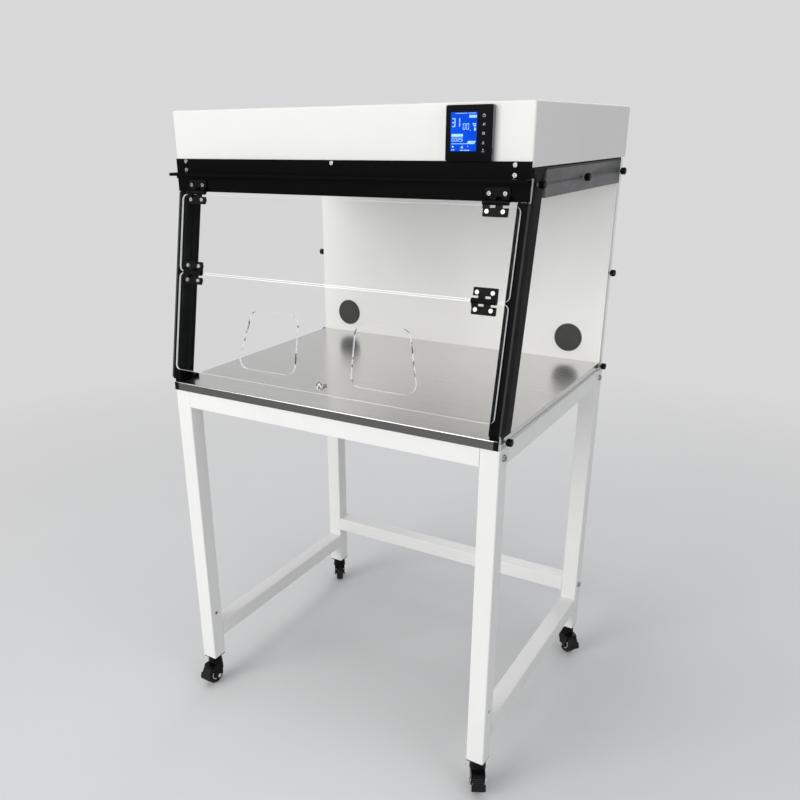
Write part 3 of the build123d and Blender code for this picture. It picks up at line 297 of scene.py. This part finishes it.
def glowing(name, dark, light, strength):
    """Lit part of the display."""
    net = Net(name)
    colour = net.mix(net.ramp(net.noise(40.0, 2.0), 0.3, 0.7), dark, light)
    return net.set(Base_Color=colour, Emission_Color=colour, Emission_Strength=strength,
                   Roughness=net.ramp(net.noise(90.0), 0.3, 0.7, 0.25, 0.4),
                   Specular_IOR_Level=0.02, Normal=net.bump(net.noise(300.0), 0.02, 0.1 * MM))


def faceted(name):
    """Clear plastic cut in facets, with dark and bright patches painted in its colour: painted shade and highlight
    standing in for the light it bends.
    """
    net = Net(name)
    painted_light_patches = net.ramp(net.noise(210.0, 2.0), 0.43, 0.53)
    # dark and bright patches in the colour: painted shade and painted highlight
    return net.set(Base_Color=net.mix(painted_light_patches, (0.10, 0.095, 0.08), (0.98, 0.96, 0.90)),
                   Roughness=net.ramp(net.noise(120.0), 0.3, 0.7, 0.01, 0.06), IOR=1.49,
                   Transmission_Weight=0.45, Normal=net.bump(net.noise(330.0, 2.0), 0.6, 1.6 * MM))


def grey_with_dark_top(name):
    """Filter box: grey with faint swirls, ending in a near-black strip along its top, under the casing."""
    net = Net(name)
    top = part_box("filter_box")[1].z
    strip = net.ramp(net.part("Z"), top - 3.6 * MM, top - 3.0 * MM)
    swirl = net.noise(14.0, 6.0, 0.7, swirl=3.5)
    grey = net.mix(net.ramp(swirl, 0.38, 0.66), (0.122, 0.123, 0.124), (0.168, 0.169, 0.170))
    fine = net.ramp(net.noise(90.0, 5.0, 0.7), 0.55, 0.75)
    grey = net.mix(fine, grey, (0.142, 0.143, 0.144))
    return net.set(Base_Color=net.mix(strip, grey, (0.004, 0.004, 0.004)),
                   Roughness=net.ramp(fine, 0.0, 1.0, 0.42, 0.6),
                   Specular_IOR_Level=0.2, Normal=net.bump(swirl, 0.08, 0.8 * MM))


def end_along(name, direction, pick):
    """Lowest or highest place of a node along a direction, where pick is min or max."""
    return pick(vertex.co.dot(direction) for vertex in nodes[name].data.vertices)


def panel_rim():
    """Front edge of the side panels, and the heights beside the fascia where it carries a painted highlight."""
    fascia_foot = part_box("fascia")[0].z
    return end_along("side_panel_right", FRONT_NORMAL, max), fascia_foot - MM, fascia_foot + 38 * MM


def sash_marks():
    """The slit between the two panes, and the stretch of the lower pane with the arm holes."""
    past_slit, past_ends = 0.8 * MM, 30 * MM
    upper_foot = end_along("sash_upper", SHEET_UP, min)
    lower_top = end_along("sash_lower", SHEET_UP, max)
    lower_foot = end_along("sash_lower", SHEET_UP, min)
    slit = ((upper_foot + lower_top) / 2, (upper_foot - lower_top) / 2 + past_slit)
    return slit, (lower_foot + past_ends, lower_top - past_ends)


SLIT, HOLES = sash_marks()
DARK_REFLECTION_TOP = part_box("worktop")[1].z - 1.8 * MM      # the front faces below it take a painted dark reflection; the edge of the worktop above it stays bright

COATED = {
    "frame_white": dict(dark=(0.82, 0.82, 0.805), light=(0.86, 0.86, 0.845), rough=0.36, grime=0.02),
    "casing_white": dict(dark=(0.78, 0.775, 0.755), light=(0.82, 0.815, 0.795), rough=0.42,
                         peel=0.18, grime=0.015, spec=0.3),
    "panel_white": dict(dark=(0.91, 0.905, 0.89), light=(0.94, 0.935, 0.92), rough=0.34, grime=0.02),
    "lamp_white": dict(dark=(0.86, 0.86, 0.84), light=(0.92, 0.92, 0.90), rough=0.3),
    "filter_media": dict(dark=(0.80, 0.80, 0.77), light=(0.90, 0.90, 0.87), rough=0.8,
                         peel=0.7, peel_scale=500),
    "prefilter_foam": dict(dark=(0.35, 0.37, 0.40), light=(0.50, 0.52, 0.55), rough=0.95,
                           peel=1.0, peel_scale=350),
    "controller_grey": dict(dark=(0.13, 0.13, 0.135), light=(0.20, 0.20, 0.205), rough=0.38, peel=0.3),
    "controller_black": dict(dark=(0.0018, 0.0018, 0.0028), light=(0.0030, 0.0030, 0.0045),
                             rough=0.16, spread=0.03, peel=0.02, spec=0.02),
    "icon_print": dict(dark=(0.40, 0.41, 0.42), light=(0.50, 0.51, 0.52), rough=0.4, peel=0.1),
    "black_metal": dict(dark=(0.0020, 0.0020, 0.0021), light=(0.0036, 0.0036, 0.0038), rough=0.34,
                        peel=0.15, spec=0.02),
    "black_plastic": dict(dark=(0.003, 0.003, 0.0034), light=(0.0065, 0.0065, 0.007), rough=0.40,
                          peel=0.3, peel_scale=1500, spec=0.08),
    "hinge_black": dict(dark=(0.0022, 0.0022, 0.0024), light=(0.0050, 0.0050, 0.0054), rough=0.36,
                        peel=0.35, peel_scale=1400, spec=0.05),
    "dark_grey_plastic": dict(dark=(0.030, 0.030, 0.029), light=(0.05, 0.049, 0.047), rough=0.5,
                              peel=0.3, spec=0.3),
    "caster_black": dict(dark=(0.0025, 0.0025, 0.0028), light=(0.0055, 0.0055, 0.006), rough=0.24,
                         grime=0.1, spec=0.09),
    "tyre_black": dict(dark=(0.005, 0.005, 0.0055), light=(0.012, 0.012, 0.0125), rough=0.45,
                       peel=0.4, grime=0.3, spec=0.2),
    "gasket": dict(dark=(0.003, 0.003, 0.003), light=(0.006, 0.006, 0.006), rough=0.8,
                   peel=0.8, peel_scale=900, spec=0.1),
    "inlet_black": dict(dark=(0.012, 0.012, 0.012), light=(0.02, 0.02, 0.02), rough=0.45, peel=0.3),
}
BRUSHED = {
    # stainless: its forward faces take a painted dark reflection
    "stainless": dict(dark=(0.56, 0.555, 0.545), light=(0.70, 0.695, 0.68), rough=0.24,
                      front=((0.16, 0.158, 0.155), DARK_REFLECTION_TOP)),
    "screw_steel": dict(dark=(0.10, 0.10, 0.098), light=(0.46, 0.455, 0.44), rough=0.26,
                        along=(150, 150, 150), strength=0.3),
    "diffuser_metal": dict(dark=(0.60, 0.60, 0.60), light=(0.74, 0.74, 0.73), rough=0.38),
    "motor_metal": dict(dark=(0.40, 0.40, 0.41), light=(0.52, 0.52, 0.53), rough=0.4,
                        along=(80, 80, 80)),
    "impeller_metal": dict(dark=(0.58, 0.58, 0.59), light=(0.70, 0.70, 0.71), rough=0.32,
                           along=(90, 90, 90)),
    "bright_steel": dict(dark=(0.66, 0.66, 0.65), light=(0.86, 0.86, 0.85), rough=0.16,
                         along=(90, 90, 90)),
}
M = {name: coated(name, **values) for name, values in COATED.items()}
M.update({name: brushed(name, **values) for name, values in BRUSHED.items()})
M.update({
    "clear_panel": clear("clear_panel", (1.0, 0.0, 0.0), 0.40, (0.72, 0.78, 0.78), 0.06, panel_rim()),
    "clear_sash": clear("clear_sash", FRONT_NORMAL, 0.96, (0.93, 0.95, 0.95), 0.26,
                        slit=SLIT, holes=HOLES),
    "clear_knob": faceted("clear_knob"),
    "display_blue": glowing("display_blue", (0.0, 0.043, 0.49), (0.001, 0.062, 0.58), 0.45),
    "lcd_marks": glowing("lcd_marks", (0.26, 0.50, 0.92), (0.36, 0.60, 0.96), 0.45),
    "pedal_black": ribbed("pedal_black", (0.003, 0.003, 0.003), (0.026, 0.026, 0.027), 0.35, 3.4 * MM),
    "filter_grey": grey_with_dark_top("filter_box_dark_top"),
})

# ------------------------------------------------------------ finish of the CAD nodes
SLOT = {row["node"]: row["material_slot"] for row in frame["record"]["subparts"]}
SOFT = {"controller_body": 0.5 * MM, "controller_face": 0.4 * MM, "thumb_knobs": 0.5 * MM,
        "worktop": 0.5 * MM, "corner_caps": 0.4 * MM, "power_inlet": 0.4 * MM}
SOFT.update({name: 0.4 * MM for name in nodes if name.startswith(("caster_wheel", "brake_pedal"))})
TUBES = ("leg_", "rail_", "side_rails")


def finish_node(name, node):
    """Gives a node its material, and an edge that is rounded if SOFT has a width for it."""
    node.data.materials.clear()
    node.data.materials.append(M[SLOT[name]])
    for face in node.data.polygons:
        face.use_smooth = True
    weld = node.modifiers.new("weld", "WELD")
    weld.merge_threshold = 0.01 * MM
    if name in SOFT:
        soften = node.modifiers.new("soften", "BEVEL")
        soften.width = SOFT[name]
        soften.segments = 2
        soften.limit_method = "ANGLE"
        soften.angle_limit = math.radians(35)
        soften.use_clamp_overlap = True
    else:
        crisp = node.modifiers.new("crisp", "EDGE_SPLIT")
        crisp.split_angle = math.radians(28)
    if name in SOFT or name.startswith(TUBES):
        even = node.modifiers.new("even", "WEIGHTED_NORMAL")
        even.mode = "FACE_AREA"
        even.weight = 80


for node_name, cad_node in nodes.items():
    finish_node(node_name, cad_node)


# ------------------------------------------------------------ helpers for small pieces
def piece(name, verts, faces, mat, body, smooth=False):
    """New mesh object that rides on a body and takes its finish from a slot of the record."""
    mesh = bpy.data.meshes.new(name)
    mesh.from_pydata([tuple(v) for v in verts], [], faces)
    mesh.validate()
    ob = bpy.data.objects.new(name, mesh)
    scene.collection.objects.link(ob)
    bm = bmesh.new()
    bm.from_mesh(mesh)
    bmesh.ops.recalc_face_normals(bm, faces=bm.faces)
    bm.to_mesh(mesh)
    bm.free()
    for face in mesh.polygons:
        face.use_smooth = smooth
    mesh.materials.append(M[mat])
    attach(ob, body)


def raised(outlines, y_back, y_front):
    """Flat shapes given as outlines of (x, z), standing from y_back to y_front."""
    verts, faces = [], []
    for line in outlines:
        start, count = len(verts), len(line)
        verts += [(x, y_back, z) for x, z in line]
        verts += [(x, y_front, z) for x, z in line]
        faces.append(tuple(range(start + count, start + 2 * count)))
        for i in range(count):
            j = (i + 1) % count
            faces.append((start + i, start + j, start + count + j, start + count + i))
    return verts, faces


def lathe(profile, centre, axis, steps=48):
    """Ring of revolution: profile is a closed list of (radius, distance along the axis)."""
    across = axis.cross(Vector((0, 0, 1))).normalized()
    upward = axis.cross(across)
    verts, faces = [], []
    for i in range(steps):
        angle = 2 * math.pi * i / steps
        out = across * math.cos(angle) + upward * math.sin(angle)
        verts += [centre + out * radius + axis * shift for radius, shift in profile]
    count = len(profile)
    for i in range(steps):
        here, following = i * count, ((i + 1) % steps) * count
        for k in range(count):
            j = (k + 1) % count
            faces.append((here + k, here + j, following + j, following + k))
    return verts, faces


PRINT = 0.12 * MM      # how far printed marks stand out from the surface behind them

# ------------------------------------------------------------ display
LCD_LOW, LCD_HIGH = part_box("controller_display")
LCD_WIDTH, LCD_HEIGHT = LCD_HIGH.x - LCD_LOW.x, LCD_HIGH.z - LCD_LOW.z


def on_lcd(u, v):
    """Point of the display: u from its left edge, v down from its top edge, both 0 to 1."""
    return LCD_LOW.x + u * LCD_WIDTH, LCD_HIGH.z - v * LCD_HEIGHT


def bar(u0, v0, u1, v1, slant=0.0):
    """Bar from one corner to the other; slant moves its top to the right."""
    x0, z0 = on_lcd(u0, v0)
    x1, z1 = on_lcd(u1, v1)
    return [(x0 + slant * LCD_WIDTH, z0), (x1 + slant * LCD_WIDTH, z0), (x1, z1), (x0, z1)]


SEGMENTS = {"0": "abcdef", "1": "bc", "2": "abged", "3": "abgcd", "5": "afgcd"}


def digit(sign, u, v, width, height, stroke):
    """Seven-segment digit in one cell of the display, in the same shares as on_lcd."""
    level_stroke = stroke * LCD_WIDTH / LCD_HEIGHT
    gap = stroke * 0.22
    right, foot, middle = u + width, v + height, v + height / 2
    cells = {
        "a": (u + gap, v, right - gap, v + level_stroke),
        "b": (right - stroke, v + gap, right, middle - gap),
        "c": (right - stroke, middle + gap, right, foot - gap),
        "d": (u + gap, foot - level_stroke, right - gap, foot),
        "e": (u, middle + gap, u + stroke, foot - gap),
        "f": (u, v + gap, u + stroke, middle - gap),
        "g": (u + gap, middle - level_stroke / 2, right - gap, middle + level_stroke / 2),
    }
    return [bar(*cells[key]) for key in SEGMENTS[sign]]


def number(signs, u, v, width, height, stroke, step):
    """Digits side by side, each one step further to the right."""
    outlines = []
    for i, sign in enumerate(signs):
        outlines += digit(sign, u + step * i, v, width, height, stroke)
    return outlines


def add_display_digits():
    """Plain digits, bars and marks that name nothing."""
    marks = number("31", 0.05, 0.15, 0.13, 0.225, 0.034, step=0.18)
    marks += number("00", 0.47, 0.285, 0.10, 0.16, 0.020, step=0.135)
    marks += number("0025", 0.055, 0.65, 0.084, 0.10, 0.017, step=0.112)
    marks += [
        # point after the small digits, and the badge above them
        bar(0.745, 0.455, 0.775, 0.475),
        bar(0.70, 0.075, 0.99, 0.145),
        # line along the top
        bar(0.18, 0.022, 0.62, 0.036),
        bar(0.66, 0.022, 0.95, 0.036),
        # three level bars at the right
        bar(0.84, 0.285, 0.97, 0.315),
        bar(0.87, 0.335, 0.97, 0.365),
        bar(0.90, 0.395, 0.97, 0.475),
        # bar above the row of four digits, slanted badge beside it, line below it
        bar(0.04, 0.555, 0.48, 0.625),
        bar(0.64, 0.735, 0.93, 0.805, slant=0.05),
        bar(0.04, 0.80, 0.93, 0.815),
        # marks along the foot
        bar(0.38, 0.965, 0.50, 0.985),
        bar(0.52, 0.965, 0.74, 0.985),
        bar(0.05, 0.955, 0.17, 0.975),
        bar(0.66, 0.86, 0.685, 0.885),
        [on_lcd(0.10, 0.855), on_lcd(0.145, 0.885), on_lcd(0.10, 0.915), on_lcd(0.055, 0.885)],
        [on_lcd(0.47, 0.85), on_lcd(0.50, 0.93), on_lcd(0.40, 0.915)],
    ]
    verts, faces = raised(marks, LCD_LOW.y, LCD_LOW.y - PRINT)
    piece("display_digits", verts, faces, "lcd_marks", "cabinet")


add_display_digits()


# ------------------------------------------------------------ touch signs
def ring(x, z, radius, width, steps=20, gap=0.0):
    """Ring in short flat pieces; gap leaves the top open."""
    parts = []
    for i in range(steps):
        start, end = 2 * math.pi * i / steps, 2 * math.pi * (i + 1) / steps
        if math.cos((start + end) / 2 - math.pi / 2) > 1 - gap:
            continue
        inner = radius - width
        corners = ((start, radius), (end, radius), (end, inner), (start, inner))
        parts.append([(x + r * math.cos(angle), z + r * math.sin(angle)) for angle, r in corners])
    return parts


def rect(x, z, width, height):
    """Upright rectangle about its middle."""
    left, right, low, high = x - width / 2, x + width / 2, z - height / 2, z + height / 2
    return [(left, low), (right, low), (right, high), (left, high)]


def triangle(x, z, width, height, up=1):
    """Triangle about its middle, with its tip up, or down where up is -1."""
    base, tip = z - up * height / 2, z + up * height / 2
    return [(x - width / 2, base), (x + width / 2, base), (x, tip)]


def add_touch_signs():
    """Five plain signs down the right side of the controller's face."""
    low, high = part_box("controller_face")
    x = low.x + 70.5 * MM
    shares = (0.195, 0.345, 0.505, 0.665, 0.815)
    power, fan, light, rise, fall = (high.z - share * (high.z - low.z) for share in shares)
    signs = ring(x, power, 2.6 * MM, 0.7 * MM, gap=0.06)
    signs.append(rect(x, power + 2.1 * MM, 0.7 * MM, 2.2 * MM))
    signs.append(triangle(x, fan + 0.6 * MM, 3.6 * MM, 2.6 * MM))
    signs.append(rect(x, fan - 1.4 * MM, 4.6 * MM, 0.6 * MM))
    signs.append(rect(x + 2.3 * MM, fan + 1.0 * MM, 0.5 * MM, 2.0 * MM))
    signs += ring(x, light, 2.3 * MM, 0.8 * MM)
    signs.append(rect(x, light, 1.2 * MM, 1.2 * MM))
    signs.append(triangle(x, rise + 1.2 * MM, 2.6 * MM, 2.4 * MM))
    signs.append(rect(x, rise - 0.6 * MM, 0.7 * MM, 1.8 * MM))
    signs.append(rect(x, rise - 2.3 * MM, 4.8 * MM, 0.7 * MM))
    signs.append(triangle(x, fall + 1.2 * MM, 2.6 * MM, 2.4 * MM, up=-1))
    signs.append(rect(x, fall + 2.8 * MM, 0.7 * MM, 1.4 * MM))
    signs.append(rect(x, fall - 1.6 * MM, 4.8 * MM, 0.7 * MM))
    verts, faces = raised(signs, low.y, low.y - PRINT)
    piece("touch_signs", verts, faces, "icon_print", "cabinet")


add_touch_signs()

# ------------------------------------------------------------ casters
JOINT = {joint["name"]: joint for joint in frame["joints"]}


def brighten_axle(fork, centre, axis):
    """Shows bare steel on the axle's heads, outside the fork's cheeks."""
    beyond_cheeks, head_radius = 15.6 * MM, 8 * MM
    fork.data.materials.append(M["bright_steel"])
    for face in fork.data.polygons:
        offset = face.center - centre
        shift = offset.dot(axis)
        if abs(shift) > beyond_cheeks and (offset - axis * shift).length < head_radius:
            face.material_index = 1


def add_wheel_ring(corner, name, side, centre, axis):
    """Thin steel ring on one side of a wheel, with its back sunk in the wheel's face."""
    back, front, crest = side * 6.8 * MM, side * 9.4 * MM, side * 9.9 * MM
    profile = [(12.2 * MM, back), (12.6 * MM, front), (13.6 * MM, crest), (15.0 * MM, front),
               (15.4 * MM, back)]
    verts, faces = lathe(profile, centre, axis)
    piece(f"wheel_ring_{corner}_{name}", verts, faces, "bright_steel", f"wheel_{corner}",
          smooth=True)


def dress_caster(corner):
    joint = JOINT[f"wheel_spin_{corner}"]
    centre, axis = Vector(joint["pos_m"]), Vector(joint["axis"]).normalized()
    brighten_axle(nodes[f"caster_fork_{corner}"], centre, axis)
    add_wheel_ring(corner, "a", 1, centre, axis)
    add_wheel_ring(corner, "b", -1, centre, axis)


for caster_corner in ("front_left", "front_right", "rear_left", "rear_right"):
    dress_caster(caster_corner)

# ------------------------------------------------------------ surroundings
BACKDROP, BACKDROP_STRENGTH = (0.80, 0.80, 0.805), 0.86


def floor_material():
    """Pale floor that holds shadows near the object and turns into the backdrop further off."""
    net = Net("floor")
    tone = net.mix(net.ramp(net.noise(0.8, 3.0), 0.3, 0.7), (0.71, 0.71, 0.715), (0.75, 0.75, 0.755))
    distance = net.new("ShaderNodeVectorMath", operation="LENGTH")
    net.link(net.coord.outputs["Object"], distance.inputs[0])
    away = net.ramp(distance.outputs["Value"], 0.7, 3.2)
    path = net.new("ShaderNodeLightPath")
    mirrored = net.total(path.outputs["Is Glossy Ray"], path.outputs["Is Transmission Ray"])
    glow = net.product(away, net.total(path.outputs["Is Camera Ray"], mirrored))
    return net.set(Base_Color=net.mix(glow, tone, (0.0, 0.0, 0.0)),
                   Roughness=net.ramp(net.noise(3.0), 0.3, 0.7, 0.55, 0.65),
                   Emission_Color=BACKDROP,
                   Emission_Strength=net.ramp(glow, 0.0, 1.0, 0.0, BACKDROP_STRENGTH),
                   Specular_IOR_Level=0.0, Normal=net.bump(net.noise(40.0), 0.02, MM))


def add_floor():
    """Round floor in rings about the origin."""
    radii, around = (0.0, 1.0, 2.0, 4.0, 8.0, 16.0, 40.0), 64
    angles = [2 * math.pi * i / around for i in range(around)]
    verts = [(r * math.cos(angle), r * math.sin(angle), 0.0) for r in radii for angle in angles]
    faces = []
    for inner in range(around, around * (len(radii) - 1), around):
        outer = inner + around
        for i in range(around):
            j = (i + 1) % around
            faces.append((inner + i, inner + j, outer + j, outer + i))
    faces += [(0, around + i, around + (i + 1) % around) for i in range(around)]
    mesh = bpy.data.meshes.new("floor")
    mesh.from_pydata(verts, [], faces)
    mesh.validate()
    mesh.materials.append(floor_material())
    floor = bpy.data.objects.new("floor", mesh)
    scene.collection.objects.link(floor)


def add_world():
    """Soft light from all round, and the backdrop's colour where the world is seen or mirrored."""
    world = bpy.data.worlds.new("world")
    scene.world = world
    world.use_nodes = True
    tree = world.node_tree
    light = tree.nodes["Background"]
    light.inputs["Color"].default_value = (0.93, 0.95, 0.97, 1)
    light.inputs["Strength"].default_value = 0.44
    view = tree.nodes.new("ShaderNodeBackground")
    view.inputs["Color"].default_value = (*BACKDROP, 1)
    view.inputs["Strength"].default_value = BACKDROP_STRENGTH
    path = tree.nodes.new("ShaderNodeLightPath")
    seen = path.outputs["Is Camera Ray"]
    for kind in ("Is Glossy Ray", "Is Transmission Ray"):
        add = tree.nodes.new("ShaderNodeMath")
        add.use_clamp = True
        tree.links.new(seen, add.inputs[0])
        tree.links.new(path.outputs[kind], add.inputs[1])
        seen = add.outputs[0]
    both = tree.nodes.new("ShaderNodeMixShader")
    tree.links.new(seen, both.inputs[0])
    tree.links.new(light.outputs[0], both.inputs[1])
    tree.links.new(view.outputs[0], both.inputs[2])
    tree.links.new(both.outputs[0], tree.nodes["World Output"].inputs["Surface"])


def add_lamp(name, place, target, size, power, tint=(1, 1, 1)):
    """Soft rectangular lamp that looks at a target, with its power in watts."""
    data = bpy.data.lights.new(name, "AREA")
    data.shape = "RECTANGLE"
    data.size, data.size_y = size
    data.energy = power
    data.color = tint
    lamp = bpy.data.objects.new(name, data)
    scene.collection.objects.link(lamp)
    lamp.location = place
    lamp.rotation_mode = "QUATERNION"
    lamp.rotation_quaternion = (Vector(target) - Vector(place)).to_track_quat("-Z", "Y")


add_floor()
add_world()
add_lamp("key", (-2.2, -5.2, 2.5), (0, 0, 0.9), (3.4, 2.8), 165, (1.0, 0.99, 0.97))
add_lamp("fill", (3.2, -1.2, 2.9), (0.3, 0, 1.2), (2.0, 2.0), 19, (0.97, 0.98, 1.0))
add_lamp("low", (0.6, -3.4, 1.0), (0.1, 0.2, 1.1), (1.6, 0.8), 9)
add_lamp("top", (-0.4, -0.4, 4.4), (0, 0, 0), (2.4, 2.4), 38)
add_lamp("rear", (-1.0, 5.0, 2.7), (0, 0, 0.9), (3.0, 2.4), 45)
scene.view_settings.view_transform = "Standard"
